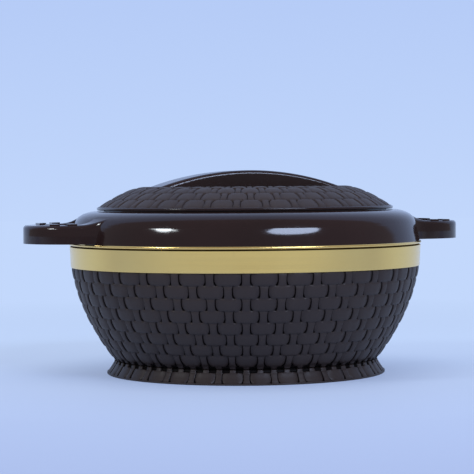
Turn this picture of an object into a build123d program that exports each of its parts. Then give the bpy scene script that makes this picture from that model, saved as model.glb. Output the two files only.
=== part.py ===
from build123d import *
import math
import os

# Insulated casserole with a lift-off lid, in millimetres, +Z up.
# The origin is the centre of the foot, on the table. The handles point along +X and -X.

# Fits
fit_gap = 0.3  # between pieces of one body that only lie beside each other
lid_clearance = 0.3  # between the seal and the steel flange under it
lid_side_gap = 0.6  # around the lid, inside the collar's well
seal_side_gap = 0.4  # between the seal and the steel wall
lid_gap = 0.6  # shadow line between the lid's rim and the collar's lip

# Heights, from the table up
foot_height = 10.5
weave_height = 68.5
band_height = 18.2
collar_height = 23.2
rim_height = 2.2
dome_height = 14.8
grip_rise = 11.8

# Steel bowl
mouth_radius = 98.0
steel_thickness = 0.7
steel_bend = 0.9
flange_width = 5.5
bowl_draft = 6.0
bowl_corner_radius = 26.0
base_insulation = 15.0
seat_depth = 7.0

# Outer shell
shell_wall = 2.6
shell_inset = 0.6
bowl_taper = 31.0
belly_fall = 4.7
neck_rise = 4.0
fill_hole_radius = 12.0
boss_radius = 4.5
boss_height = 9.0

# Weave moulded into the wall and the dome: rows of bricks, with a stake showing between each two
weave_pairs = 32
wall_rows = 8
wall_neck = 2.5
wall_weave_turn = 0.6
dome_rows = 3
dome_foot = 1.3
dome_crown = 6.3
dome_weave_turn = -2.7
seam_depth = 1.1
stake_turn = 3.5
stake_depth = 0.8
stake_margin = 1.3

# Foot and base plate
foot_flare = 5.3
foot_wall = 3.0
foot_sole = 1.6
foot_flange_width = 34.0
foot_flange_thickness = 2.4
plate_thickness = 2.2
plate_rib_radius = 40.0
plate_rib_width = 3.0
plate_rib_height = 1.2

# Gold band
band_proud = 0.6
band_cone = 0.9
bead_height = 2.0
bead_proud = 0.5
band_groove = 1.0
band_groove_depth = 1.0
band_edge_radius = 0.5

# Collar
collar_wall = 2.6
lip_width = 6.3
lip_edge_radius = 1.0
shoulder_width = 18.8
flank_lean = 2.4
flank_height = 12.3
lip_fall = 1.3
stop_rib_height = 2.0
stop_rib_width = 5.0

# Handles, each one a loop moulded with the collar
handle_reach = 36.4
handle_nose_radius = 39.0
handle_flare_radius = 24.0
barrel_inset = 5.6
handle_rise = 0.6
handle_thickness = 12.6
handle_slope = 1.0
handle_edge_radius = 2.6
sweep_start = 8.4
sweep_bend = 1.6
sweep_end = 7.6
sweep_rise = 6.8
leg_width = 12.5
grip_rib_count = 2
grip_rib_width = 6.4
grip_rib_pitch = 11.6
grip_rib_start = 4.8
grip_rib_proud = 1.0
core_wall = 2.8
core_roof = 3.6

# Lid cover
lid_wall = 2.4
rim_cover = 5.5
rim_edge_radius = 0.9
dome_inset = 1.1
dome_width = 34.4
dome_knee = 12.0
crest_land = 3.0
crest_edge_radius = 2.5
dish_depth = 17.5
dish_lean = 3.5
dish_corner_radius = 5.0
skirt_depth = 2.4
skirt_wall = 1.8

# Lid liner and seal
liner_wall = 2.2
plug_gap = 1.5
plug_depth = 12.7
plug_corner_radius = 4.0
seal_thickness = 2.0
seal_skirt_depth = 5.0
lid_fill_hole_radius = 8.0

# Grip
grip_width = 36.0
grip_arch_radius = 203.0
grip_bar_depth = 12.0
grip_span = 98.0
grip_span_corner_radius = 12.0
grip_wall = 2.4
grip_edge_radius = 2.8
grip_end_gap = 0.5
grip_boss_radius = 4.0
grip_boss_inset = 10.5
grip_boss_height = 14.0
grip_web_pitch = 20.0
grip_web_thickness = 1.6

# Screws
screw_radius = 1.5
screw_pilot_radius = 1.3
screw_hole_radius = 1.8
screw_head_radius = 3.2
screw_head_height = 2.0
screw_bite = 8.0
screw_tip = 1.5
screw_slot_width = 0.9
screw_slot_depth = 1.1
base_screw_count = 4
base_screw_inset = 28.0

# Plugs of the foam filling holes
plug_head_overlap = 3.0
plug_head_thickness = 1.4

# Heights worked out from the above
shoulder_z = foot_height + weave_height
collar_z = shoulder_z + band_height
lip_z = collar_z + collar_height
rim_z = lip_z + lid_gap
dome_z = rim_z + rim_height
crest_z = dome_z + dome_height
grip_top_z = crest_z + grip_rise
seat_z = lip_z - seat_depth
shell_floor_z = foot_height + shell_wall
bowl_underside_z = shell_floor_z + base_insulation
plate_z = foot_height - foot_flange_thickness - plate_thickness
dish_z = crest_z - dish_depth
seal_z = seat_z + steel_thickness + lid_clearance
step_z = seal_z + seal_thickness
liner_z = seat_z - plug_depth

# Radii worked out from the above
flange_radius = mouth_radius + steel_thickness + flange_width
well_radius = flange_radius + fit_gap
lip_radius = well_radius + lip_width
collar_radius = lip_radius + shoulder_width
weave_radius = collar_radius - shell_inset
neck_lean = flank_lean * neck_rise / flank_height
shell_neck_radius = collar_radius - neck_lean - collar_wall - fit_gap
neck_radius = weave_radius - bowl_taper
foot_radius = neck_radius + foot_flare
base_screw_circle = neck_radius - base_screw_inset
rim_radius = well_radius + rim_cover
dome_radius = rim_radius - dome_inset
crest_radius = dome_radius - dome_width
dish_radius = crest_radius - crest_land
step_radius = well_radius - lid_side_gap
plug_radius = mouth_radius - plug_gap
reach_radius = collar_radius + handle_reach
barrel_radius = collar_radius - barrel_inset
handle_z = collar_z + handle_rise
handle_top_z = handle_z + handle_thickness


def band(inner, outer, low, high):
    """Rectangle in the (radius, height) plane."""
    return Pos(inner, low) * Rectangle(outer - inner, high - low, align=(Align.MIN, Align.MIN))


def spun(profile):
    """Solid made by turning a (radius, height) profile about the Z axis."""
    return revolve(Plane.XZ * profile, Axis.Z)


def disc(radius, low, high, x=0.0, y=0.0):
    """Upright cylinder between two heights."""
    return Pos(x, y, low) * Cylinder(radius, high - low, align=(Align.CENTER, Align.CENTER, Align.MIN))


def corner(profile, radius, height):
    """The corner of a flat profile that lies nearest to a given point."""
    return profile.vertices().sort_by_distance((radius, height))[0]


def base_screw_places():
    """Places of the base screws on their circle."""
    turns = [2 * math.pi * (index + 0.5) / base_screw_count for index in range(base_screw_count)]
    return [(base_screw_circle * math.cos(turn), base_screw_circle * math.sin(turn)) for turn in turns]


def grip_screw_places():
    """Places of the grip screws, one in each end of the grip."""
    reach = dish_radius - dish_lean - grip_boss_inset
    return [(side * reach, 0.0) for side in (-1, 1)]


def wall_edge(inset):
    """Outer line of the woven wall, pulled in by inset, from the foot up."""
    foot = (neck_radius - inset, foot_height)
    belly = (weave_radius - belly_fall - inset, (foot_height + shoulder_z) / 2)
    return Bezier(foot, belly, (weave_radius - inset, shoulder_z))


def wall_area(inset, low, high):
    """Area inside the woven wall, pulled in by inset, between two heights."""
    edge = wall_edge(inset)
    area = make_face(edge + Polyline(edge @ 1, (0, shoulder_z), (0, foot_height), edge @ 0))
    return area & band(0, weave_radius, low, high)


def basin_area(grow, floor_z):
    """Area inside the steel bowl, grown outwards, from floor_z to the top of its flange."""
    top_z = seat_z + steel_thickness
    foot = mouth_radius - bowl_draft + grow
    edge = Polyline((0, floor_z), (foot, floor_z), (mouth_radius + grow, top_z), (0, top_z), close=True)
    area = make_face(edge)
    return fillet(corner(area, foot, floor_z), bowl_corner_radius + grow)


def collar_area(inset):
    """Area inside the collar's outer face, pulled in by inset."""
    crown_z = lip_z - lip_fall
    crown_radius = collar_radius - flank_lean * (crown_z - collar_z) / flank_height
    foot = (collar_radius - inset, collar_z)
    knee = (collar_radius - flank_lean - inset, collar_z + flank_height)
    lip = (lip_radius, lip_z - inset)
    side = Line(foot, knee) + Bezier(knee, (crown_radius - inset, crown_z - inset), lip)
    return make_face(side + Polyline(lip, (0, lip_z - inset), (0, collar_z), foot))


def dome_edge(inset):
    """Outer line of the lid's dome, pulled in by inset, from the rim up."""
    knee = (crest_radius + dome_knee - inset / 2, crest_z - inset)
    return Bezier((dome_radius - inset, dome_z), knee, (crest_radius, crest_z - inset))


def dome_area(inset):
    """Area under the lid's dome, pulled in by inset, down to the rim."""
    side = dome_edge(inset)
    return make_face(side + Polyline(side @ 1, (0, crest_z - inset), (0, dome_z), side @ 0))


def seam_cut(edge, places):
    """Round grooves between the weave's rows, at distances along a wall's line."""
    return [spun(Pos(edge @ (place / edge.length)) * Circle(seam_depth)) for place in places]


def stake_cut(edge, places, height, first_turn):
    """Hollows in which the stakes show, in rows at distances along a wall's line.

    Each row is turned by half a pair against the one before it.
    """
    cuts = []
    for row, place in enumerate(places):
        middle = edge @ (place / edge.length)
        along = edge % (place / edge.length)
        tilt = math.degrees(math.atan2(along.X, along.Y))
        width = 2 * middle.X * math.tan(math.radians(stake_turn / 2))
        hollow = Box(2 * stake_depth, width, height - 2 * stake_margin)
        stake = Pos(middle.X, 0, middle.Y) * Rot(0, tilt, 0) * hollow
        for pair in range(weave_pairs):
            cuts.append(stake.rotate(Axis.Z, first_turn + (pair + (row + 1) / 2) * 360 / weave_pairs))
    return cuts


def dish_area(grow, floor_z, top_z):
    """Area of the finger dish in the lid, grown outwards, from floor_z to top_z."""
    foot = dish_radius - dish_lean + grow
    rim = dish_radius + grow
    high_z = grip_top_z + grip_rise
    edge = Polyline((0, floor_z), (foot, floor_z), (rim, crest_z), (rim, high_z), (0, high_z), close=True)
    area = make_face(edge)
    area = fillet(corner(area, foot, floor_z), dish_corner_radius + grow)
    return area & band(0, rim, floor_z, top_z)


def screw(x, y, head_z, through):
    """Pan head screw that stands on its head's upper face at head_z and points up."""
    top_z = head_z + through + screw_bite
    stem = disc(screw_radius, head_z, top_z - screw_tip)
    tip = Pos(0, 0, top_z - screw_tip) * Cone(
        screw_radius, screw_radius / 4, screw_tip, align=(Align.CENTER, Align.CENTER, Align.MIN)
    )
    head = disc(screw_head_radius, head_z - screw_head_height, head_z)
    head = fillet(head.edges().sort_by(Axis.Z)[0], screw_head_height / 2)
    cross = Box(2 * screw_radius, screw_slot_width, 2 * screw_slot_depth)
    cross += Box(screw_slot_width, 2 * screw_radius, 2 * screw_slot_depth)
    head -= Pos(0, 0, head_z - screw_head_height) * cross
    return Pos(x, y, 0) * (stem + tip + head)


def hole_plug(radius, face_z):
    """Push-in plug of a foam filling hole: a head under face_z and a stem in the hole."""
    stem = disc(radius - fit_gap, face_z, face_z + liner_wall)
    return stem + disc(radius + plug_head_overlap, face_z - plug_head_thickness, face_z)


def make_outer_shell():
    """Woven bowl: closed floor with a filling hole and bosses, and a plain neck inside the band."""
    profile = wall_area(0, foot_height, shoulder_z) - wall_area(shell_wall, shell_floor_z, shoulder_z)
    neck_inner = shell_neck_radius - shell_wall
    profile += wall_area(0, shoulder_z - shell_wall, shoulder_z) - band(0, neck_inner, 0, shoulder_z)
    profile += band(neck_inner, shell_neck_radius, shoulder_z - shell_wall, collar_z + neck_rise)
    edge = wall_edge(0)
    height = (edge.length - wall_neck) / wall_rows
    tops = [edge.length - row * height for row in range(wall_rows)]
    shell = spun(profile) - seam_cut(edge, [top - height for top in tops])
    shell -= stake_cut(edge, [top - height / 2 for top in tops], height, wall_weave_turn)
    shell -= disc(fill_hole_radius, 0, shell_floor_z)
    for x, y in base_screw_places():
        shell += disc(boss_radius, shell_floor_z, shell_floor_z + boss_height, x, y)
        shell -= disc(screw_pilot_radius, 0, shell_floor_z + boss_height - screw_tip, x, y)
    return shell


def make_foot_ring():
    """Flared skirt that carries the casserole, with a flange clamped under the shell."""
    def skirt(inset):
        neck = (neck_radius - inset, foot_height)
        sole = (foot_radius - inset, foot_sole)
        bend = (neck_radius + foot_flare / 5 - inset, foot_height / 2)
        edge = Bezier(neck, bend, sole) + Polyline(sole, (foot_radius - inset, 0), (0, 0), (0, foot_height), neck)
        return make_face(edge)

    profile = skirt(0) - skirt(foot_wall)
    profile += band(
        neck_radius - foot_flange_width, neck_radius - foot_wall / 2,
        foot_height - foot_flange_thickness, foot_height,
    )
    profile = fillet(corner(profile, foot_radius, 0), foot_sole / 2)
    ring = spun(profile)
    for x, y in base_screw_places():
        ring -= disc(screw_hole_radius, 0, foot_height, x, y)
    return ring


def make_base_plate():
    """Plate that closes the underside, with one stiffening rib."""
    radius = neck_radius - foot_wall - fit_gap
    plate = disc(radius, plate_z, plate_z + plate_thickness)
    rib = band(plate_rib_radius, plate_rib_radius + plate_rib_width, plate_z - plate_rib_height, plate_z)
    plate += spun(rib)
    for x, y in base_screw_places():
        plate -= disc(screw_hole_radius, 0, foot_height, x, y)
    return plate


def make_base_screws():
    """Screws through the plate and the foot's flange into the shell's bosses."""
    through = shell_floor_z - plate_z
    reach = boss_height - screw_bite
    return [screw(x, y, plate_z, through - reach) for x, y in base_screw_places()]


def make_body_insulation():
    """Foam between the shell, the collar and the steel bowl, clear of the screw bosses."""
    step_under_z = shoulder_z - shell_wall - fit_gap
    outside = wall_area(shell_wall + fit_gap, shell_floor_z, step_under_z)
    outside += band(0, shell_neck_radius - shell_wall - fit_gap, step_under_z, collar_z)
    stop_radius = shell_neck_radius - stop_rib_width - fit_gap
    well_wall_radius = well_radius + collar_wall + fit_gap
    above = collar_area(collar_wall + fit_gap) & band(0, stop_radius, collar_z, lip_z)
    outside += above & band(0, stop_radius, collar_z, seat_z - collar_wall)
    outside += above & band(well_wall_radius, stop_radius, collar_z, lip_z)
    inside = basin_area(steel_thickness + fit_gap, bowl_underside_z)
    foam = spun(outside - inside)
    for x, y in base_screw_places():
        foam -= disc(boss_radius + fit_gap, 0, shell_floor_z + boss_height + fit_gap, x, y)
    return foam - disc(fill_hole_radius, 0, foot_height + liner_wall)


def make_steel_bowl():
    """Pressed steel bowl with a flat flange that lies in the collar's well."""
    floor_z = bowl_underside_z + steel_thickness
    profile = basin_area(steel_thickness, bowl_underside_z)
    profile += band(0, flange_radius, seat_z, seat_z + steel_thickness)
    profile -= basin_area(0, floor_z)
    bend = corner(profile, mouth_radius, seat_z + steel_thickness)
    return spun(fillet(bend, steel_bend))


def make_gold_band():
    """Metallised ring with a rounded bead above a groove."""
    inner = shell_neck_radius + fit_gap
    foot = weave_radius + fit_gap
    face = foot + band_cone
    groove_low = collar_z - bead_height - band_groove
    groove_high = collar_z - bead_height
    crown = (collar_radius + band_proud + bead_proud, collar_z - bead_height / 2)
    lower = Polyline(
        (inner, collar_z), (inner, shoulder_z), (foot, shoulder_z), (face, groove_low),
        (face - band_groove_depth, groove_low), (face - band_groove_depth, groove_high), (face, groove_high),
    )
    bead = ThreePointArc((face, groove_high), crown, (collar_radius, collar_z))
    profile = make_face(lower + bead + Line((collar_radius, collar_z), (inner, collar_z)))
    return spun(fillet(corner(profile, foot, shoulder_z), band_edge_radius))


def collar_ring():
    """The collar without its handles: shoulder, lip, well for the steel flange and a stop rib."""
    profile = collar_area(0) - collar_area(collar_wall) - band(0, well_radius, collar_z, lip_z)
    profile += band(well_radius, well_radius + collar_wall, seat_z - collar_wall, lip_z - collar_wall / 2)
    ledge_radius = mouth_radius + steel_thickness + fit_gap
    profile += band(ledge_radius, well_radius + collar_wall, seat_z - collar_wall, seat_z)
    stop_z = collar_z + neck_rise
    stop = band(shell_neck_radius - stop_rib_width, collar_radius, stop_z, stop_z + stop_rib_height)
    profile += stop & collar_area(collar_wall / 2)
    return spun(fillet(corner(profile, well_radius, lip_z), lip_edge_radius))


def crossing(first_radius, second_radius, apart):
    """Where a circle about the origin crosses one whose centre lies apart from it along +X."""
    x = (first_radius ** 2 - second_radius ** 2 + apart ** 2) / (2 * apart)
    return x, math.sqrt(first_radius ** 2 - x ** 2)


def handle_plan(inset):
    """Plan of one handle on the +X side, pulled in by inset: a round loop that flares into the collar."""
    nose_x = reach_radius - handle_nose_radius
    nose_radius = handle_nose_radius - inset
    root_radius = barrel_radius - inset
    flare_radius = handle_flare_radius + inset
    plan = Circle(root_radius) + Pos(nose_x, 0) * Circle(nose_radius)
    root_x, root_y = crossing(root_radius, nose_radius, nose_x)
    for side in (-1, 1):
        plan = fillet(corner(plan, root_x, side * root_y), flare_radius)
    flare_x, flare_y = crossing(root_radius + flare_radius, nose_radius + flare_radius, nose_x)
    share = root_radius / (root_radius + flare_radius)
    window = Rectangle(2 * reach_radius, 2 * flare_y * share, align=(Align.MIN, Align.CENTER))
    plan &= Pos(flare_x * share, 0) * window
    slot_radius = handle_nose_radius - leg_width + inset
    slot = Pos(nose_x, 0) * Circle(slot_radius)
    slot += Rectangle(nose_x, 2 * slot_radius, align=(Align.MIN, Align.CENTER))
    return plan - slot


def handle_cap(proud):
    """Solid under the handles' upper face, which sweeps up into the collar's shoulder."""
    end = (reach_radius + handle_reach, handle_top_z + proud)
    start = (collar_radius + sweep_start, handle_top_z + handle_slope + proud)
    bend = (collar_radius - sweep_bend, handle_top_z + handle_slope + proud)
    root = (collar_radius - sweep_end, handle_top_z + sweep_rise + proud)
    edge = Line(end, start) + Bezier(start, bend, root)
    below = Polyline(root, (0, handle_top_z + sweep_rise + proud), (0, handle_z), (end[0], handle_z), end)
    return spun(make_face(edge + below))


def beyond(distance):
    """Half plane from a given distance along +X outwards."""
    return Pos(distance, 0) * Rectangle(2 * reach_radius, 2 * reach_radius, align=(Align.MIN, Align.CENTER))


def make_handle():
    """One handle loop on the +X side, cored from below, with raised ribs across its top."""
    loop = Pos(0, 0, handle_z) * extrude(handle_plan(0), 2 * handle_thickness)
    loop &= handle_cap(0)
    outline = [
        edge for edge in loop.edges()
        if edge.geom_type != GeomType.CIRCLE
        and edge.center().Z > handle_top_z - fit_gap
        and edge.center().X > collar_radius - flank_lean
    ]
    loop = fillet(outline, handle_edge_radius)
    loop -= spun(collar_area(collar_wall / 2))
    rib_plan = handle_plan(handle_edge_radius / 2)
    for index in range(grip_rib_count):
        low = collar_radius + grip_rib_start + index * grip_rib_pitch
        stripe = rib_plan & (beyond(low) - beyond(low + grip_rib_width))
        rib = Pos(0, 0, handle_top_z - handle_edge_radius) * extrude(stripe, handle_thickness)
        loop += rib & handle_cap(grip_rib_proud)
    pocket_plan = handle_plan(core_wall) & beyond(collar_radius + core_wall)
    return loop - extrude(pocket_plan, handle_top_z - core_roof)


def make_handle_collar():
    """Glossy collar with its two handles, in one moulding."""
    handle = make_handle()
    return collar_ring() + handle + handle.rotate(Axis.Z, 180)


def make_lid_cover():
    """Woven dome with a round finger dish in its crown."""
    outside = dome_area(0) + dish_area(lid_wall, dish_z - lid_wall, crest_z)
    hollow = dome_area(lid_wall) - dish_area(lid_wall, dish_z - lid_wall, grip_top_z)
    profile = outside - hollow - dish_area(0, dish_z, grip_top_z)
    skirt_radius = step_radius - liner_wall - fit_gap
    skirt = band(skirt_radius - skirt_wall, skirt_radius, dome_z, crest_z) & dome_area(lid_wall / 2)
    profile += skirt + band(skirt_radius - skirt_wall, skirt_radius, dome_z - skirt_depth, dome_z)
    cover = spun(fillet(corner(profile, dish_radius, crest_z), crest_edge_radius))
    edge = dome_edge(0)
    height = (edge.length - dome_foot - dome_crown) / dome_rows
    seams = [dome_foot + (row + 1) * height for row in range(dome_rows)]
    cover -= seam_cut(edge, seams)
    cover -= stake_cut(edge, [seam - height / 2 for seam in seams], height, dome_weave_turn)
    for x, y in grip_screw_places():
        cover -= disc(screw_hole_radius, liner_z, crest_z, x, y)
    return cover


def make_lid_liner():
    """Glossy pan under the dome: its flange is the lid's rim, its floor plugs into the mouth."""
    outside = band(0, plug_radius, liner_z, step_z) + band(0, step_radius, step_z, rim_z)
    outside += band(0, rim_radius, rim_z, dome_z)
    hollow = band(0, plug_radius - liner_wall, liner_z + liner_wall, dome_z)
    hollow += band(0, step_radius - liner_wall, step_z + liner_wall, dome_z)
    profile = fillet(corner(outside - hollow, plug_radius, liner_z), plug_corner_radius)
    profile = fillet(corner(profile, rim_radius, rim_z), rim_edge_radius)
    profile = fillet(corner(profile, rim_radius, dome_z), rim_edge_radius)
    return spun(profile) - disc(lid_fill_hole_radius, 0, liner_z + liner_wall)


def make_lid_insulation():
    """Foam between the dome and the liner, around the dish and the grip's screws."""
    foam_floor_z = liner_z + liner_wall
    skirt_inner = step_radius - liner_wall - fit_gap - skirt_wall - fit_gap
    area = band(0, plug_radius - liner_wall - fit_gap, foam_floor_z, dome_z)
    area += band(0, skirt_inner, step_z + liner_wall, dome_z)
    area += dome_area(lid_wall + fit_gap) & band(0, skirt_inner, dome_z, crest_z)
    area -= dish_area(lid_wall + fit_gap, dish_z - lid_wall, crest_z)
    foam = spun(area)
    head_z = dish_z - lid_wall - screw_head_height - fit_gap
    for x, y in grip_screw_places():
        foam -= disc(screw_head_radius + fit_gap, head_z, crest_z, x, y)
    return foam


def make_lid_seal():
    """Soft L-shaped ring under the liner's step, with a skirt along the plug."""
    inner = plug_radius
    outer = mouth_radius - seal_side_gap
    profile = band(inner, flange_radius - lid_side_gap, seal_z, step_z)
    profile += band(inner, outer, seal_z - seal_skirt_depth, step_z)
    return spun(profile)


def grip_side_area(depth):
    """Side view of the grip below its arched top, depth under the top face."""
    arch = Pos(0, grip_top_z - grip_arch_radius) * Circle(grip_arch_radius - depth)
    return arch & Pos(0, dish_z) * Rectangle(2 * dish_radius, 2 * dish_depth, align=(Align.CENTER, Align.MIN))


def grip_opening_area():
    """Side view of the finger opening under the bar."""
    window = Pos(0, dish_z) * Rectangle(grip_span, 2 * dish_depth, align=(Align.CENTER, Align.MIN))
    opening = grip_side_area(grip_bar_depth) & window
    for point in opening.vertices().group_by(Axis.Y)[-1]:
        opening = fillet(corner(opening, point.X, point.Y), grip_span_corner_radius)
    return opening


def make_lid_grip():
    """Arched bar across the dish, hollow from below, with a screw boss in each end."""
    bar = extrude(Plane.XZ * grip_side_area(0), grip_width / 2, both=True)
    arches = [edge for edge in bar.edges().filter_by(GeomType.CIRCLE) if edge.radius > grip_width]
    bar = fillet(arches, grip_edge_radius)
    bar -= extrude(Plane.XZ * grip_opening_area(), grip_width, both=True)
    bar &= spun(dish_area(-grip_end_gap, dish_z, grip_top_z + grip_rise))
    hollow = grip_side_area(grip_wall)
    web_start = grip_span / 2 - grip_span_corner_radius
    web_width = grip_span_corner_radius + grip_wall
    for turn in (-1, 1):
        place = Pos(turn * (web_start + web_width / 2), dish_z)
        hollow -= place * Rectangle(web_width, 2 * dish_depth, align=(Align.CENTER, Align.MIN))
    for index in (-1, 0, 1):
        place = Pos(index * grip_web_pitch, dish_z)
        hollow -= place * Rectangle(grip_web_thickness, 2 * dish_depth, align=(Align.CENTER, Align.MIN))
    void = extrude(Plane.XZ * hollow, grip_width / 2 - grip_wall, both=True)
    void &= spun(dish_area(-grip_end_gap - grip_wall, dish_z, grip_top_z + grip_rise))
    grip = bar - void
    for x, y in grip_screw_places():
        grip += disc(grip_boss_radius, dish_z, grip_top_z, x, y) & bar
        grip -= disc(screw_pilot_radius, dish_z, dish_z + grip_boss_height, x, y)
    return grip


def make_grip_screws():
    """Screws from under the dish into the grip's bosses."""
    return [screw(x, y, dish_z - lid_wall, lid_wall) for x, y in grip_screw_places()]


def save(name, shape):
    """Write one sub-part to its own STEP file."""
    export_step(Compound(children=shape) if isinstance(shape, list) else shape, f"parts/{name}.step")


os.makedirs("parts", exist_ok=True)
save("outer_shell", make_outer_shell())
save("foot_ring", make_foot_ring())
save("base_plate", make_base_plate())
save("base_screws", make_base_screws())
save("shell_plug", hole_plug(fill_hole_radius, foot_height))
save("body_insulation", make_body_insulation())
save("steel_bowl", make_steel_bowl())
save("gold_band", make_gold_band())
save("handle_collar", make_handle_collar())
save("lid_cover", make_lid_cover())
save("lid_liner", make_lid_liner())
save("lid_insulation", make_lid_insulation())
save("lid_seal", make_lid_seal())
save("lid_grip", make_lid_grip())
save("grip_screws", make_grip_screws())
save("lid_plug", hole_plug(lid_fill_hole_radius, liner_z))
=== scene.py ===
import math

import bmesh
import bpy
import numpy
from mathutils import Matrix, Vector


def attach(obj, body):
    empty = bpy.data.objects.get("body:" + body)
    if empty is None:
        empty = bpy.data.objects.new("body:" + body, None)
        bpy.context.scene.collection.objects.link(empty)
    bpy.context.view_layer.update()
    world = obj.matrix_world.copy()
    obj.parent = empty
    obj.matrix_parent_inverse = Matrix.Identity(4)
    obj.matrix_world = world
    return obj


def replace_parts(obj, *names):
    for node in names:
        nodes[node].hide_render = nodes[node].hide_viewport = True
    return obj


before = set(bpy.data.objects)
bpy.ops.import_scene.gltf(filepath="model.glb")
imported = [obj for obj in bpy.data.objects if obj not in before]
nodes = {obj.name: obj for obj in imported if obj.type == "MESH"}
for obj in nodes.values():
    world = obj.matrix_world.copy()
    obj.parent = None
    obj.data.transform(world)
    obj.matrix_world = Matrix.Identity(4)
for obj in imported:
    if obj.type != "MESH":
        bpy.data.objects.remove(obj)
bpy.context.view_layer.update()

MM = 0.001
MERGE_DISTANCE = 1e-6

# Weave, in degrees round the axis: 32 bricks and 32 stakes in each row, turned by half a pair from row to row
PAIRS = 32
PAIR_TURN = 360 / PAIRS
HALF_TURN = PAIR_TURN / 2
STAKE_EDGE = 1.16
BRICK_END = 1.44
# Columns from a stake's centre to halfway between it and the next one
QUARTER = (0, 0.6, 1.0, STAKE_EDGE, 1.25, 1.36, BRICK_END, 1.62, 2.1, HALF_TURN / 2)
PAIR_COLUMNS = 4 * (len(QUARTER) - 1)
COLUMNS = PAIRS * PAIR_COLUMNS
# Rings of a row, as shares of its height
ROW_STEPS = (0.0, 0.05, 0.13, 0.27, 0.46, 0.64, 0.8, 0.92)
# Stands in place of a row's parity in the dark openings between the stakes, just above the foot
OPEN_NECK = -1

# Weave, in millimetres below the crests
GAP_DEPTH = 1.9
GAP_TOP_RISE = 0.6
PIT_DEPTH = 2.3
SEAM_DEPTH = 0.45
END_DEPTH = 1.15
STAKE_DEPTH = 0.1
STAKE_DIVE = 0.75
STAKE_ROUNDING = 0.2
NECK_ROUNDING = 0.3

# Weave, how much painted shade it takes, from 0 to 1
EDGE_SHADE = 0.42
STAKE_END_SHADE = 0.2
BRICK_SEAM_SHADE = 0.25
GAP_TOP_LIGHT = 0.4
NECK_SHADE = 0.3

# Outlines of stakes and bricks: how far in degrees, and where as a share of the row's height
STAKE_FLARE = 0.3
LOWER_CUT = 1.1
LOWER_CUT_FROM = 0.45
LOWER_CUT_POWER = 2.6
UPPER_CUT = 0.35
UPPER_CUT_TO = 0.25
HIDDEN_END = 0.2
GAP_TOP = 0.3

# The wall, the foot and the dome, in millimetres: radius, height
WALL = ((98.0, 10.5), (124.3, 44.75), (129.0, 79.0))
FOOT = ((98.0, 10.5), (99.06, 5.25), (103.3, 1.6))
DOME = ((108.9, 123.2), (86.5, 138.0), (74.5, 138.0))

WALL_ROWS = 8
WALL_NECK = 2.5
WALL_THICKNESS = 2.6
WALL_INNER_STEPS = 9
WALL_TURN = 0.6
WALL_TOP = (126.0, 79.0)
WALL_FOOT = (95.6, 10.6)
NECK_RINGS = ((98.6, 11.3), (98.1, 10.65))
NECK_NORMAL = (0.8, -0.6)

FOOT_NECK_SHARES = (0.0, 0.08, 0.16)
FOOT_ROW_SHARE = 0.2
FOOT_ROW_END = 0.6
FOOT_STRENGTH = 0.8
FOOT_TOP = (95.2, 10.5)
FOOT_EDGE = ((103.25, 1.35), (103.3, 0.9), (103.2, 0.35), (102.8, 0.05), (102.3, 0.0))
FOOT_INSIDE = ((100.6, 0.0), (100.3, 1.6), (97.6, 4.2), (96.4, 7.0), (95.4, 9.6))

DOME_ROWS = 3
DOME_FOOT = 1.3
DOME_CROWN = 6.3
DOME_THICKNESS = 2.5
DOME_INNER_STEPS = 12
DOME_TURN = 2.9
DOME_STRENGTH = 0.78
# How strongly the weave's painted shade shows on the dome
DOME_SHADE_STRENGTH = 0.64
DOME_RIM = ((108.9, 123.2), (108.7, 123.4))
DOME_INNER_RIM = (106.4, 123.2)
CREST_EDGE = ((75.2, 138.0), (74.9, 137.6), (74.9, 135.6))
CREST_RINGS = slice(1, 6)

# Finger dish and gold band, in millimetres; an arc is its centre, radius, first and last angle, and steps
DISH_COLUMNS = 192
DISH_EDGE = ((74.8, 135.4), (74.8, 137.7))
DISH_ARCS = (
    ((74.5, 137.7), 0.3, 0, 90, 3),
    ((73.9, 135.5), 2.5, 90, 176, 8),
    ((63.1, 125.6), 5.0, -8, -90, 8),
)
DISH_FLOOR = ((40.0, 120.5), (15.0, 120.5), (0.0, 120.5))
DISH_UNDERSIDE = ((0.0, 118.2), (40.0, 118.2), (66.0, 118.4), (72.0, 124.0))
BAND_COLUMNS = 288
BAND_BACK = ((126.4, 97.2), (126.4, 79.0))
BAND_LOWER_EDGE = ((128.85, 79.5), 0.5, -90, 10, 5)
BAND_FACE = ((129.4, 80.3), (129.42, 81.2), (130.1, 94.2))
BAND_GROOVE = (128.2, 94.8)
BAND_BEAD = ((129.55, 96.3), 1.05, -65, 60, 8)
BAND_TOP = (129.6, 97.2)
BAND_SHARP_ANGLE = 35


# ---------------------------------------------------------------- curves

def bezier(points, t):
    """Point on a quadratic curve."""
    a, b, c = points
    keep = 1 - t
    return tuple(keep * keep * a[k] + 2 * keep * t * b[k] + t * t * c[k] for k in (0, 1))


def walked(points, steps=400):
    """The curve as a dense polyline with the distance walked along it."""
    path = [bezier(points, index / steps) for index in range(steps + 1)]
    gone = [0.0]
    for a, b in zip(path, path[1:]):
        gone.append(gone[-1] + math.dist(a, b))
    return path, gone


def place_at(path, gone, distance):
    """Point and outward normal after a distance along a dense polyline."""
    distance = min(max(distance, 0.0), gone[-1])
    index = max(1, next((i for i, g in enumerate(gone) if g >= distance), len(gone) - 1))
    a, b = path[index - 1], path[index]
    share = (distance - gone[index - 1]) / (gone[index] - gone[index - 1])
    point = tuple(a[k] + share * (b[k] - a[k]) for k in (0, 1))
    along = Vector((b[0] - a[0], b[1] - a[1])).normalized()
    return point, (abs(along.y), abs(along.x))


def offset_curve(curve, inset, count, lean=1):
    """Points at an inset inside a curve, from its start to its end; lean is -1 where it faces down."""
    path, gone = walked(curve)
    points = []
    for index in range(count + 1):
        point, normal = place_at(path, gone, gone[-1] * index / count)
        points.append((point[0] - inset * normal[0], point[1] - inset * lean * normal[1]))
    return points


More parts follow.
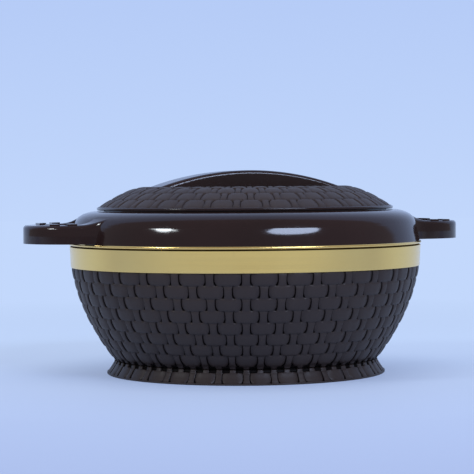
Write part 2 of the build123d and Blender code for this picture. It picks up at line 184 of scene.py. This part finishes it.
def arc(centre, radius, start, end, count):
    """Points on an arc in the (radius, height) plane, angles in degrees."""
    points = []
    for index in range(count + 1):
        turn = math.radians(start + (end - start) * index / count)
        points.append((centre[0] + radius * math.cos(turn), centre[1] + radius * math.sin(turn)))
    return points


def mixed(value, knots):
    """Piecewise straight curve through (x, y) knots."""
    for (x0, y0), (x1, y1) in zip(knots, knots[1:]):
        if value <= x1:
            return y0 + (y1 - y0) * (value - x0) / (x1 - x0)
    return knots[-1][1]


# ---------------------------------------------------------------- weave

def column_place(column):
    """Stake group (0 or 1), its angle, side and the distance from it, for one column of a pair."""
    quarter, at = divmod(column, len(QUARTER) - 1)
    if quarter == 0:
        return 0, 0.0, 1, QUARTER[at]
    if quarter == 1:
        return 1, HALF_TURN, -1, QUARTER[-1 - at]
    if quarter == 2:
        return 1, HALF_TURN, 1, QUARTER[at]
    return 0, PAIR_TURN, -1, QUARTER[-1 - at]


def stake_flare(v):
    """How far a stake widens towards the ends of its row, in degrees."""
    return STAKE_FLARE * abs(2 * v - 1) ** 4


def brick_cut(v):
    """How far a brick's end draws back at its corners, in degrees."""
    lower = max(0.0, (v - LOWER_CUT_FROM) / (1 - LOWER_CUT_FROM))
    upper = max(0.0, (UPPER_CUT_TO - v) / UPPER_CUT_TO)
    return LOWER_CUT * lower ** LOWER_CUT_POWER + UPPER_CUT * upper ** 2


def spread(distance, v, shown):
    """Angle from a stake's centre at which a column stands in this row."""
    if shown:
        edge, end = stake_flare(v), brick_cut(v)
    else:
        near = max(0.0, 1 - min(v, 1 - v) / HIDDEN_END)
        edge, end = near * stake_flare(0), near * (brick_cut(1) if v < 0.5 else brick_cut(0))
    end = max(edge, end)
    return mixed(distance, (
        (0, 0), (STAKE_EDGE, STAKE_EDGE + edge), (BRICK_END, BRICK_END + end), (QUARTER[-1], QUARTER[-1]),
    ))


def depth_at(distance, v):
    """Depth below the crests and painted shade at a distance from the shown stake's centre, v down the row.
    """
    across = abs(2 * v - 1)
    if distance <= STAKE_EDGE:
        out = distance / STAKE_EDGE
        depth = STAKE_DEPTH + STAKE_DIVE * across ** 4 + STAKE_ROUNDING * out ** 3
        return depth, EDGE_SHADE * out ** 5 + STAKE_END_SHADE * across ** 6
    if distance < BRICK_END:
        rise = 1 - min(1.0, v / GAP_TOP)
        depth = GAP_DEPTH - GAP_TOP_RISE * rise + (PIT_DEPTH - GAP_DEPTH) * v ** 4
        return depth, 1 - GAP_TOP_LIGHT * rise
    outwards = 1 - (distance - BRICK_END) / (HALF_TURN - BRICK_END)
    depth = END_DEPTH * outwards ** 3 + SEAM_DEPTH * across ** 4
    return min(depth, GAP_DEPTH), EDGE_SHADE * outwards ** 8 + BRICK_SEAM_SHADE * across ** 8


def neck_depth(distance):
    """Depth and painted shade in the openings between all the stakes, just above the foot."""
    if distance <= STAKE_EDGE:
        return SEAM_DEPTH + NECK_ROUNDING * (distance / STAKE_EDGE) ** 3, NECK_SHADE
    return PIT_DEPTH, 1.0


def weave_rings(curve, start, rows, pitch, phase):
    """Rings of a woven stretch: (point, normal, row parity, v) from start along the curve."""
    path, gone = walked(curve)
    rings = []
    for row in range(rows):
        for v in ROW_STEPS:
            point, normal = place_at(path, gone, start + (row + v) * pitch)
            rings.append((point, normal, (row + phase) % 2, v))
    point, normal = place_at(path, gone, start + rows * pitch)
    rings.append((point, normal, (rows - 1 + phase) % 2, 1.0))
    return rings


def plain(points):
    """Rings without relief."""
    return [(point, (1, 0), None, 0.0) for point in points]


def pressed(ring, column, strength):
    """Radius, height, turn and painted shade of one column of a pair on one ring."""
    (radius, height), normal, parity, v = ring
    group, centre, side, distance = column_place(column)
    if parity is None:
        return radius, height, centre + side * distance, 0.0
    if parity == OPEN_NECK:
        turn = distance
        depth, dark = neck_depth(distance)
    else:
        shown = group == parity
        turn = spread(distance, v, shown)
        depth, dark = depth_at(distance if shown else HALF_TURN - distance, v)
    depth *= strength
    return radius - depth * normal[0], height - depth * normal[1], centre + side * turn, dark


# ---------------------------------------------------------------- turned pieces

def turned_mesh(name, profile, columns):
    """Mesh made by turning a closed (radius, height) profile about Z; it keeps each point's ring."""
    bm = bmesh.new()
    place = bm.verts.layers.int.new("ring")
    chain = [bm.verts.new((radius * MM, 0, height * MM)) for radius, height in profile]
    for index, vert in enumerate(chain):
        vert[place] = index
    edges = [bm.edges.new(pair) for pair in zip(chain, chain[1:] + chain[:1])]
    sector = 2 * math.pi / PAIRS
    bmesh.ops.spin(
        bm, geom=chain + edges, cent=(0, 0, 0), axis=(0, 0, 1), angle=sector, steps=columns // PAIRS,
    )
    first = bm.verts[:] + bm.edges[:] + bm.faces[:]
    for index in range(1, PAIRS):
        copied = bmesh.ops.duplicate(bm, geom=first)["geom"]
        verts = [item for item in copied if isinstance(item, bmesh.types.BMVert)]
        bmesh.ops.rotate(bm, cent=(0, 0, 0), matrix=Matrix.Rotation(index * sector, 3, "Z"), verts=verts)
    bmesh.ops.remove_doubles(bm, verts=bm.verts, dist=MERGE_DISTANCE)
    bmesh.ops.recalc_face_normals(bm, faces=bm.faces)
    mesh = bpy.data.meshes.new(name)
    bm.to_mesh(mesh)
    bm.free()
    mesh.shade_smooth()
    return mesh


def ring_of(mesh):
    """Place in the profile of each point of a turned mesh."""
    ring = numpy.empty(len(mesh.vertices), dtype=numpy.int32)
    mesh.attributes["ring"].data.foreach_get("value", ring)
    return ring


def paint_shade(mesh, values):
    """Store how much painted shade each point of a turned mesh takes, in place of its ring."""
    mesh.attributes.remove(mesh.attributes["ring"])
    mesh.attributes.new("painted_shade", "FLOAT", "POINT").data.foreach_set("value", values)


def woven_mesh(name, rings, turn, strength, darkness=1.0):
    """Turned mesh with the weave pressed into it, and how much painted shade each point takes."""
    mesh = turned_mesh(name, [ring[0] for ring in rings], COLUMNS)
    table = numpy.array([
        [pressed(ring, column, strength) for column in range(PAIR_COLUMNS)] for ring in rings
    ])
    count = len(mesh.vertices)
    spots = numpy.empty(3 * count)
    mesh.vertices.foreach_get("co", spots)
    spots = spots.reshape(count, 3)
    ring = ring_of(mesh)
    angle = numpy.arctan2(spots[:, 1], spots[:, 0])
    column = numpy.rint(angle / (2 * math.pi) * COLUMNS).astype(int) % COLUMNS
    radius, height, within, dark = table[ring, column % PAIR_COLUMNS].T
    angle = numpy.radians((column // PAIR_COLUMNS) * PAIR_TURN + within + turn)
    spots = numpy.stack((radius * numpy.cos(angle), radius * numpy.sin(angle), height), axis=1) * MM
    mesh.vertices.foreach_set("co", spots.ravel())
    paint_shade(mesh, dark * darkness)
    mesh.update()
    return mesh


def placed(mesh, body, material):
    """A mesh as an object that rides on a body."""
    piece = bpy.data.objects.new(mesh.name, mesh)
    bpy.context.scene.collection.objects.link(piece)
    mesh.materials.append(material)
    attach(piece, body)
    return piece


def make_woven_bowl(material):
    """Bowl wall with eight woven rows, and openings between the stakes at its foot."""
    down = tuple(reversed(WALL))
    length = walked(down)[1][-1]
    outer = weave_rings(down, 0.0, WALL_ROWS, (length - WALL_NECK) / WALL_ROWS, 1)
    outer = [(point, (n[0], -n[1]), parity, v) for point, n, parity, v in outer]
    neck = [(point, NECK_NORMAL, OPEN_NECK, 0.0) for point in NECK_RINGS]
    inner = offset_curve(WALL, WALL_THICKNESS, WALL_INNER_STEPS, -1)
    rings = plain([WALL_TOP]) + outer + neck + plain([WALL_FOOT] + inner[1:-1])
    mesh = woven_mesh("woven_bowl", rings, WALL_TURN, 1.0)
    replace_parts(placed(mesh, "casserole", material), "outer_shell")


def make_woven_foot(material):
    """Flared foot with one woven row under the dark openings of the neck."""
    path, gone = walked(FOOT)
    rings = plain([FOOT_TOP])
    for share in FOOT_NECK_SHARES:
        point, normal = place_at(path, gone, gone[-1] * share)
        rings.append((point, normal, OPEN_NECK, 0.0))
    start = FOOT_ROW_SHARE * gone[-1]
    rings += weave_rings(FOOT, start, 1, gone[-1] - start - FOOT_ROW_END, 1)
    rings += plain(FOOT_EDGE + FOOT_INSIDE)
    mesh = woven_mesh("woven_foot", rings, WALL_TURN, FOOT_STRENGTH)
    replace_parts(placed(mesh, "casserole", material), "foot_ring")


def make_woven_dome(material):
    """Lid dome with three woven rows and a narrow fourth at its crest."""
    length = walked(DOME)[1][-1]
    pitch = (length - DOME_FOOT - DOME_CROWN) / DOME_ROWS
    outer = weave_rings(DOME, DOME_FOOT, DOME_ROWS, pitch, 1)
    crest = weave_rings(DOME, length - DOME_CROWN, 1, pitch, 0)[CREST_RINGS]
    inner = list(reversed(offset_curve(DOME, DOME_THICKNESS, DOME_INNER_STEPS)))
    rings = plain(DOME_RIM) + outer + crest
    rings += plain(CREST_EDGE) + plain(inner[1:-1]) + plain([DOME_INNER_RIM])
    mesh = woven_mesh("woven_dome", rings, DOME_TURN - HALF_TURN, DOME_STRENGTH, DOME_SHADE_STRENGTH)
    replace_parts(placed(mesh, "lid", material), "lid_cover")


def make_finger_dish(material):
    """Round dish in the lid's crown, with a rolled edge."""
    profile = list(DISH_EDGE)
    for part in DISH_ARCS:
        profile += arc(*part)
    profile += DISH_FLOOR + DISH_UNDERSIDE
    mesh = turned_mesh("finger_dish", profile, DISH_COLUMNS)
    mesh.attributes.remove(mesh.attributes["ring"])
    placed(mesh, "lid", material)


def make_bright_band(material):
    """Gold band: leaning face, rolled lower edge, and a narrow bead over a deep groove."""
    profile = list(BAND_BACK) + arc(*BAND_LOWER_EDGE) + list(BAND_FACE)
    groove = len(profile)
    profile += [BAND_GROOVE] + arc(*BAND_BEAD) + [BAND_TOP]
    mesh = turned_mesh("bright_band", profile, BAND_COLUMNS)
    mesh.set_sharp_from_angle(angle=math.radians(BAND_SHARP_ANGLE))
    # The groove's ring takes the painted shade
    paint_shade(mesh, (ring_of(mesh) == groove).astype(float))
    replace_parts(placed(mesh, "casserole", material), "gold_band")


# ---------------------------------------------------------------- shader helpers

def put(tree, made, name, value):
    """Set a socket to a value, or link it to another node's socket."""
    socket = made.inputs[name]
    if isinstance(value, bpy.types.NodeSocket):
        tree.links.new(value, socket)
    else:
        socket.default_value = value


def math_node(tree, operation, first, second=0.5):
    """Math node with two inputs."""
    made = tree.nodes.new("ShaderNodeMath")
    made.operation = operation
    put(tree, made, 0, first)
    put(tree, made, 1, second)
    return made.outputs[0]


def vector_node(tree, operation, vector):
    """Vector Math node with its first input linked."""
    made = tree.nodes.new("ShaderNodeVectorMath")
    made.operation = operation
    tree.links.new(vector, made.inputs[0])
    return made


def ramp(tree, value, low, high, to_low=0.0, to_high=1.0):
    """Value taken from one range to another, and held inside it."""
    made = tree.nodes.new("ShaderNodeMapRange")
    made.clamp = True
    put(tree, made, "Value", value)
    put(tree, made, "From Min", low)
    put(tree, made, "From Max", high)
    put(tree, made, "To Min", to_low)
    put(tree, made, "To Max", to_high)
    return made.outputs["Result"]


def blend_colour(tree, factor, first, second):
    """Mix of two colours."""
    made = tree.nodes.new("ShaderNodeMix")
    made.data_type = "RGBA"
    for index, value in ((0, factor), (6, first), (7, second)):
        put(tree, made, index, value)
    return made.outputs[2]


def blend_shader(tree, factor, first, second, target):
    """Mix of two shaders into an output's surface."""
    mix = tree.nodes.new("ShaderNodeMixShader")
    for index, value in enumerate((factor, first, second)):
        tree.links.new(value, mix.inputs[index])
    tree.links.new(mix.outputs[0], tree.nodes[target].inputs["Surface"])


def noise(tree, vector, scale, detail, roughness):
    """Noise value on a vector."""
    made = tree.nodes.new("ShaderNodeTexNoise")
    put(tree, made, "Vector", vector)
    put(tree, made, "Scale", scale)
    put(tree, made, "Detail", detail)
    put(tree, made, "Roughness", roughness)
    return made.outputs["Fac"]


def object_place(tree):
    """Object coordinates."""
    return tree.nodes.new("ShaderNodeTexCoord").outputs["Object"]


def apart(tree, vector):
    """The three parts of a vector."""
    made = tree.nodes.new("ShaderNodeSeparateXYZ")
    tree.links.new(vector, made.inputs[0])
    return made.outputs


def painted_shade(tree):
    """How much painted shade a point takes, from the mesh."""
    made = tree.nodes.new("ShaderNodeAttribute")
    made.attribute_name = "painted_shade"
    return made.outputs["Fac"]


def new_group(name, inputs, outputs):
    """Empty shader node group with named float inputs and outputs."""
    group = bpy.data.node_groups.new(name, "ShaderNodeTree")
    for label, value in inputs:
        socket = group.interface.new_socket(name=label, in_out="INPUT", socket_type="NodeSocketFloat")
        socket.default_value = value
    for label in outputs:
        group.interface.new_socket(name=label, in_out="OUTPUT", socket_type="NodeSocketFloat")
    return group, group.nodes.new("NodeGroupInput"), group.nodes.new("NodeGroupOutput")


GRAIN_SIZE = 1400.0
TONE_SIZE = 18.0
MARK_SIZE = 130.0
MARK_STRETCH = (1.0, 0.35, 0.35)
MARK_TURN = (0.3, 0.5, 0.9)
LINE_SIZE = 900.0
LINE_BREAKS = 1.2


def make_surface_group():
    """Broad tone, fine grain and faint rubbed marks on Object coordinates."""
    group, given, out = new_group(
        "surface_wear", (("Grain Size", GRAIN_SIZE), ("Tone Size", TONE_SIZE)), ("Tone", "Grain", "Rubbed"),
    )
    place = object_place(group)
    tone = noise(group, place, given.outputs["Tone Size"], detail=4.0, roughness=0.6)
    grain = noise(group, place, given.outputs["Grain Size"], detail=2.0, roughness=0.6)
    stretched = group.nodes.new("ShaderNodeMapping")
    put(group, stretched, "Scale", MARK_STRETCH)
    put(group, stretched, "Rotation", MARK_TURN)
    put(group, stretched, "Vector", place)
    marks = noise(group, stretched.outputs["Vector"], MARK_SIZE, detail=5.0, roughness=0.7)
    group.links.new(ramp(group, tone, 0.3, 0.7), out.inputs["Tone"])
    group.links.new(grain, out.inputs["Grain"])
    group.links.new(ramp(group, marks, 0.55, 0.75), out.inputs["Rubbed"])
    return group


def make_turned_group():
    """Fine lines round the axis, as a lathe or a polishing wheel leaves them."""
    group, given, out = new_group("turned_lines", (("Fineness", 1.0),), ("Lines",))
    place = apart(group, object_place(group))
    across = math_node(group, "POWER", place["X"], 2.0)
    along = math_node(group, "POWER", place["Y"], 2.0)
    radius = math_node(group, "SQRT", math_node(group, "ADD", across, along))
    turn = math_node(group, "ARCTAN2", place["Y"], place["X"])
    joined = group.nodes.new("ShaderNodeCombineXYZ")
    put(group, joined, "X", math_node(group, "MULTIPLY", radius, LINE_SIZE))
    put(group, joined, "Y", math_node(group, "MULTIPLY", place["Z"], LINE_SIZE))
    put(group, joined, "Z", math_node(group, "MULTIPLY", turn, LINE_BREAKS))
    lines = noise(group, joined.outputs[0], given.outputs["Fineness"], detail=4.0, roughness=0.7)
    group.links.new(lines, out.inputs["Lines"])
    return group


surface_group = make_surface_group()
turned_group = make_turned_group()


def new_material(name):
    """Material with an empty Principled shader, its tree and its shader."""
    material = bpy.data.materials.new(name)
    material.use_nodes = True
    tree = material.node_tree
    return material, tree, tree.nodes["Principled BSDF"]


def worn(tree, grain_size, tone_size):
    """The surface group placed in a material."""
    group = tree.nodes.new("ShaderNodeGroup")
    group.node_tree = surface_group
    put(tree, group, "Grain Size", grain_size)
    put(tree, group, "Tone Size", tone_size)
    return group.outputs


def turned(tree, fineness):
    """The turned lines placed in a material."""
    group = tree.nodes.new("ShaderNodeGroup")
    group.node_tree = turned_group
    put(tree, group, "Fineness", fineness)
    return group.outputs["Lines"]


def bumped(tree, shader, height, strength, distance):
    """Bump from a height into the shader's normal."""
    made = tree.nodes.new("ShaderNodeBump")
    put(tree, made, "Strength", strength)
    put(tree, made, "Distance", distance)
    put(tree, made, "Height", height)
    put(tree, shader, "Normal", made.outputs["Normal"])
    return made


def rgb(red, green, blue):
    """Linear colour from display values 0 to 255."""
    def linear(value):
        value /= 255
        return value / 12.92 if value <= 0.04045 else ((value + 0.055) / 1.055) ** 2.4
    return (linear(red), linear(green), linear(blue), 1.0)


# ---------------------------------------------------------------- materials

# Lighter crests of the weave: partly rubbed wear, partly a painted highlight
WEAVE_WORN_CREST_AND_HIGHLIGHT = rgb(57, 47, 43)
# Painted shade in the weave's slits, pits and stake walls
WEAVE_PAINTED_SHADE = rgb(6, 5, 5)
GLOSS_DARK = rgb(31, 19, 18)
GLOSS_LIGHT = rgb(39, 24, 23)
# Painted shade in the gold band's groove, over the groove's own darker line
GOLD_GROOVE_LINE_AND_SHADE = rgb(108, 88, 44)
# Painted shade in the foam's cell hollows
FOAM_SHADED_HOLLOW = rgb(222, 206, 150)
FOAM_LIGHT = rgb(240, 230, 188)
FOAM_CELLS = 700.0
GLOSS_SPECULAR = 0.36
FINE_BUMP = 0.0002
WAVE_BUMP = 0.0004
CELL_BUMP = 0.0006

# The collar's wall, in metres above the table, and how far its normal leans up
COLLAR_LOW = 0.103
COLLAR_MIDDLE = 0.1095
COLLAR_HIGH = 0.1132
COLLAR_LEAN = 0.145


def make_plastic(name, dark, light, rough, grain_bump, painted_shades=False):
    """Moulded plastic with tone variation, a fine grain and rubbed marks; where asked, painted shade in the
    weave's crevices, and lighter crests that are partly wear and partly a painted highlight.
    """
    material, tree, shader = new_material(name)
    wear = worn(tree, grain_size=1400.0, tone_size=16.0)
    colour = blend_colour(tree, wear["Tone"], dark, light)
    if painted_shades:
        deep = painted_shade(tree)
        # Crests painted lighter: partly rubbed wear, partly a painted highlight
        crest = ramp(tree, deep, 0.0, 0.1, to_low=0.25, to_high=0.0)
        # Painted shade: the slits and pits of the weave are painted near black
        slit_shade = ramp(tree, deep, 0.45, 0.72, to_low=0.0, to_high=0.92)
        colour = blend_colour(tree, crest, colour, WEAVE_WORN_CREST_AND_HIGHLIGHT)
        colour = blend_colour(tree, slit_shade, colour, WEAVE_PAINTED_SHADE)
        # The painted shade also takes most of the gleam out of the crevices
        gleam = ramp(tree, deep, 0.4, 0.7, to_low=0.34, to_high=0.05)
        put(tree, shader, "Specular IOR Level", gleam)
    put(tree, shader, "Base Color", colour)
    put(tree, shader, "Roughness", ramp(tree, wear["Rubbed"], 0.0, 1.0, *rough))
    bumped(tree, shader, wear["Grain"], grain_bump, FINE_BUMP)
    return material


def crowned_normal(tree):
    """Normal of an outer wall that is slightly rounded between its foot and its shoulder."""
    height = apart(tree, object_place(tree))["Z"]
    rise = ramp(tree, height, COLLAR_LOW, COLLAR_MIDDLE, to_high=COLLAR_LEAN)
    fall = ramp(tree, height, COLLAR_MIDDLE, COLLAR_HIGH, to_high=-COLLAR_LEAN)
    tilt = tree.nodes.new("ShaderNodeCombineXYZ")
    put(tree, tilt, "Z", math_node(tree, "ADD", rise, fall))
    lean = vector_node(tree, "ADD", tree.nodes.new("ShaderNodeNewGeometry").outputs["Normal"])
    put(tree, lean, 1, tilt.outputs[0])
    return vector_node(tree, "NORMALIZE", lean.outputs[0]).outputs[0]


def make_gloss(name, rough, crowned=False):
    """High gloss plastic with a faint wave, fine hairlines and finger marks."""
    material, tree, shader = new_material(name)
    wear = worn(tree, grain_size=260.0, tone_size=10.0)
    put(tree, shader, "Base Color", blend_colour(tree, wear["Tone"], GLOSS_DARK, GLOSS_LIGHT))
    put(tree, shader, "Roughness", ramp(tree, wear["Rubbed"], 0.0, 1.0, *rough))
    put(tree, shader, "Specular IOR Level", GLOSS_SPECULAR)
    bump = bumped(tree, shader, wear["Grain"], 0.012, WAVE_BUMP)
    if crowned:
        put(tree, bump, "Normal", crowned_normal(tree))
    return material


def make_metal(name, dark, light, rough, fineness, line_bump, painted_shades=False):
    """Polished or brushed metal with lines round the axis; where asked, painted shade in a groove."""
    material, tree, shader = new_material(name)
    wear = worn(tree, grain_size=900.0, tone_size=14.0)
    lines = turned(tree, fineness)
    put(tree, shader, "Metallic", 1.0)
    tone = math_node(tree, "MULTIPLY", wear["Tone"], ramp(tree, lines, 0.3, 0.7, to_low=0.6))
    colour = blend_colour(tree, tone, dark, light)
    uneven = math_node(tree, "MAXIMUM", wear["Rubbed"], ramp(tree, lines, 0.35, 0.7))
    blur = ramp(tree, uneven, 0.0, 1.0, *rough)
    if painted_shades:
        # Painted shade in the gold band's groove, over its own darker line; the groove is also made rougher
        deep = painted_shade(tree)
        colour = blend_colour(tree, ramp(tree, deep, 0.02, 0.4), colour, GOLD_GROOVE_LINE_AND_SHADE)
        blur = math_node(tree, "MAXIMUM", blur, ramp(tree, deep, 0.02, 0.4, to_high=0.7))
    put(tree, shader, "Base Color", colour)
    put(tree, shader, "Roughness", blur)
    bumped(tree, shader, lines, line_bump, FINE_BUMP)
    return material


def make_foam():
    """Rigid foam with small open cells, painted darker in their hollows as painted shade."""
    material, tree, shader = new_material("rigid_foam")
    cells = tree.nodes.new("ShaderNodeTexVoronoi")
    put(tree, cells, "Vector", object_place(tree))
    put(tree, cells, "Scale", FOAM_CELLS)
    depth = ramp(tree, cells.outputs["Distance"], 0.1, 0.6)
    # Cell hollows painted darker: painted shade
    put(tree, shader, "Base Color", blend_colour(tree, depth, FOAM_SHADED_HOLLOW, FOAM_LIGHT))
    put(tree, shader, "Roughness", ramp(tree, depth, 0.0, 1.0, to_low=0.95, to_high=0.8))
    bumped(tree, shader, depth, 0.5, CELL_BUMP)
    return material


woven = make_plastic(
    "woven_matte_plastic", dark=rgb(40, 30, 28), light=rgb(47, 36, 32), rough=(0.5, 0.64), grain_bump=0.2,
    painted_shades=True,
)
satin = make_plastic(
    "satin_inner_plastic", dark=rgb(36, 30, 30), light=rgb(44, 38, 37), rough=(0.42, 0.6), grain_bump=0.12,
)
silicone = make_plastic(
    "seal_silicone", dark=rgb(196, 194, 188), light=rgb(208, 206, 200), rough=(0.5, 0.7), grain_bump=0.1,
)
gloss = make_gloss("gloss_dark_plastic", rough=(0.08, 0.14))
grip_gloss = make_gloss("grip_gloss_plastic", rough=(0.18, 0.26))
crowned_gloss = make_gloss("collar_gloss_plastic", rough=(0.09, 0.15), crowned=True)
gold = make_metal(
    "polished_gold", dark=rgb(240, 203, 122), light=rgb(244, 209, 129), rough=(0.16, 0.24), fineness=0.5,
    line_bump=0.02, painted_shades=True,
)
steel = make_metal(
    "brushed_steel", dark=rgb(176, 176, 178), light=rgb(206, 206, 208), rough=(0.22, 0.38), fineness=1.0,
    line_bump=0.12,
)
zinc = make_metal(
    "zinc_plated_steel", dark=rgb(168, 168, 166), light=rgb(200, 199, 192), rough=(0.26, 0.42), fineness=0.6,
    line_bump=0.1,
)
foam = make_foam()

for node_name, material in (
    ("base_plate", satin), ("base_screws", zinc), ("shell_plug", satin), ("body_insulation", foam),
    ("steel_bowl", steel), ("gold_band", gold), ("handle_collar", crowned_gloss), ("lid_liner", gloss),
    ("lid_insulation", foam), ("lid_seal", silicone), ("lid_grip", grip_gloss), ("grip_screws", zinc),
    ("lid_plug", satin),
):
    for slot in nodes[node_name].material_slots:
        slot.material = material

make_woven_bowl(woven)
make_woven_foot(woven)
make_woven_dome(woven)
make_finger_dish(satin)
make_bright_band(gold)

# ---------------------------------------------------------------- stage, light and camera

VIEW_TURN = math.radians(16.5)
BACK = (math.sin(VIEW_TURN), math.cos(VIEW_TURN), 0.0)
UP_AND_BACK = (BACK[0], BACK[1], 0.5)
BACKDROP = rgb(195, 216, 252)
BACKDROP_HIGH = rgb(182, 204, 247)
FLOOR_TONE = rgb(156, 171, 217)
FLOOR_AROUND = rgb(176, 196, 238)
FLOOR_FRONT = rgb(206, 221, 242)
FLOOR_FAR_FRONT = (0.12, 0.12, 0.13, 1.0)
FLOOR_SURFACE = (0.55, 0.65, 0.80, 1.0)
FLOOR_RADIUS = 6.0
FLOOR_SIDES = 96
FRONT_TONE = (0.30, 0.30, 0.33, 1.0)
MIRRORED_FRONT = (0.32, 0.30, 0.32, 1.0)
SIDE_TONE = (0.50, 0.61, 0.86, 1.0)

CAMERA_REACH = 1.414
CAMERA_HEIGHT = 0.1402
CAMERA_PAN = 0.241
CAMERA_DIP = 1.619
CAMERA_ROLL = -0.43
LENS = 144.3
SENSOR_WIDTH = 36
FARTHEST_SEEN = 30
LAMP_CENTRE = 0.1
LAMP_AIM = (0, 0, 0.08)
RIGHT_COLOUR = (0.60, 0.72, 1.0)
LEFT_COLOUR = (0.88, 0.95, 1.0)
TOP_COLOUR = (1.0, 0.98, 0.96)


def floor_tone(tree, place, away):
    """Colour of the floor: it meets the backdrop behind the object and dims far in front of it."""
    behind = vector_node(tree, "DOT_PRODUCT", place)
    put(tree, behind, 1, BACK)
    behind = behind.outputs["Value"]
    tone = blend_colour(tree, ramp(tree, behind, -0.3, 0.3), FLOOR_TONE, BACKDROP)
    outside = ramp(tree, away, 0.52, 0.62)
    before = ramp(tree, behind, -0.2, 0.1, to_low=1.0, to_high=0.0)
    tone = blend_colour(tree, math_node(tree, "MULTIPLY", outside, before), tone, FLOOR_AROUND)
    tone = blend_colour(tree, ramp(tree, behind, -0.66, -0.5), FLOOR_FRONT, tone)
    return blend_colour(tree, ramp(tree, behind, -2.6, -1.2), FLOOR_FAR_FRONT, tone)


def make_floor():
    """Pale round floor that takes a soft shadow and fades into the backdrop's colour."""
    bm = bmesh.new()
    bmesh.ops.create_circle(bm, cap_ends=True, segments=FLOOR_SIDES, radius=FLOOR_RADIUS)
    mesh = bpy.data.meshes.new("floor")
    bm.to_mesh(mesh)
    bm.free()
    floor = bpy.data.objects.new("floor", mesh)
    bpy.context.scene.collection.objects.link(floor)
    material, tree, shader = new_material("pale_floor")
    put(tree, shader, "Base Color", FLOOR_SURFACE)
    put(tree, shader, "Roughness", 0.6)
    put(tree, shader, "Specular IOR Level", 0.2)
    place = object_place(tree)
    away = vector_node(tree, "LENGTH", place).outputs["Value"]
    glow = tree.nodes.new("ShaderNodeEmission")
    put(tree, glow, "Color", floor_tone(tree, place, away))
    fade = ramp(tree, away, 0.3, 0.9, to_low=0.5)
    blend_shader(tree, fade, shader.outputs[0], glow.outputs[0], "Material Output")
    mesh.materials.append(material)


def make_world():
    """Pale blue surroundings behind and above the object, and a dim room in front of it."""
    world = bpy.data.worlds.new("studio")
    bpy.context.scene.world = world
    world.use_nodes = True
    tree = world.node_tree
    room = tree.nodes["Background"]
    way = tree.nodes.new("ShaderNodeTexCoord").outputs["Generated"]
    side = vector_node(tree, "DOT_PRODUCT", way)
    put(tree, side, 1, UP_AND_BACK)
    pale = side.outputs["Value"]
    put(tree, room, "Color", blend_colour(tree, ramp(tree, pale, 0.3, 0.7), FRONT_TONE, SIDE_TONE))
    height = apart(tree, way)["Z"]
    tone = blend_colour(tree, ramp(tree, height, -0.03, 0.09), BACKDROP, BACKDROP_HIGH)
    backdrop = tree.nodes.new("ShaderNodeBackground")
    put(tree, backdrop, "Color", blend_colour(tree, ramp(tree, pale, 0.45, 0.55), MIRRORED_FRONT, tone))
    path = tree.nodes.new("ShaderNodeLightPath").outputs
    seen = math_node(tree, "MAXIMUM", path["Is Camera Ray"], path["Is Transmission Ray"])
    seen = math_node(tree, "MAXIMUM", seen, path["Is Glossy Ray"])
    blend_shader(tree, seen, room.outputs[0], backdrop.outputs[0], "World Output")


def around(turn, rise, reach):
    """Point at an angle to the right of the camera's side, and above the floor, from the object."""
    away = -math.pi / 2 - VIEW_TURN + math.radians(turn)
    rise = math.radians(rise)
    flat = reach * math.cos(rise)
    return Vector((flat * math.cos(away), flat * math.sin(away), LAMP_CENTRE + reach * math.sin(rise)))


def make_softbox(name, turn, rise, reach, size, power, colour, mirrored=True):
    """Oval lamp that looks at the object; mirrored says whether it shows in reflections."""
    lamp = bpy.data.lights.new(name, "AREA")
    lamp.shape = "ELLIPSE"
    lamp.size, lamp.size_y = size
    lamp.energy = power
    lamp.color = colour
    holder = bpy.data.objects.new(name, lamp)
    holder.location = around(turn, rise, reach)
    holder.rotation_euler = (Vector(LAMP_AIM) - holder.location).to_track_quat("-Z", "Y").to_euler()
    holder.visible_glossy = mirrored
    bpy.context.scene.collection.objects.link(holder)


def make_camera():
    """Long lens just above the lid's grip, turned a little round from the front."""
    lens = bpy.data.cameras.new("camera")
    lens.lens = LENS
    lens.sensor_width = SENSOR_WIDTH
    lens.clip_end = FARTHEST_SEEN
    camera = bpy.data.objects.new("camera", lens)
    place = Vector((-CAMERA_REACH * BACK[0], -CAMERA_REACH * BACK[1], CAMERA_HEIGHT))
    turn = Matrix.Rotation(-VIEW_TURN + math.radians(CAMERA_PAN), 4, "Z")
    tilt = Matrix.Rotation(math.radians(90 - CAMERA_DIP), 4, "X")
    roll = Matrix.Rotation(math.radians(CAMERA_ROLL), 4, "Z")
    camera.matrix_world = Matrix.Translation(place) @ turn @ tilt @ roll
    bpy.context.scene.collection.objects.link(camera)
    bpy.context.scene.camera = camera


make_floor()
make_world()
make_softbox(
    "softbox_right", turn=33.4, rise=29.9, reach=2.0, size=(1.14, 0.44), power=25, colour=RIGHT_COLOUR,
)
make_softbox(
    "softbox_left", turn=-57.1, rise=29, reach=2.0, size=(0.36, 0.26), power=6.5, colour=LEFT_COLOUR,
)
make_softbox(
    "softbox_left_wings", turn=-57.1, rise=29, reach=1.99, size=(0.66, 0.11), power=3.5, colour=LEFT_COLOUR,
)
make_softbox(
    "softbox_top", turn=0, rise=80, reach=1.6, size=(1.4, 1.4), power=12, colour=TOP_COLOUR, mirrored=False,
)
make_camera()
bpy.context.scene.view_settings.view_transform = "Standard"

bpy.context.view_layer.update()
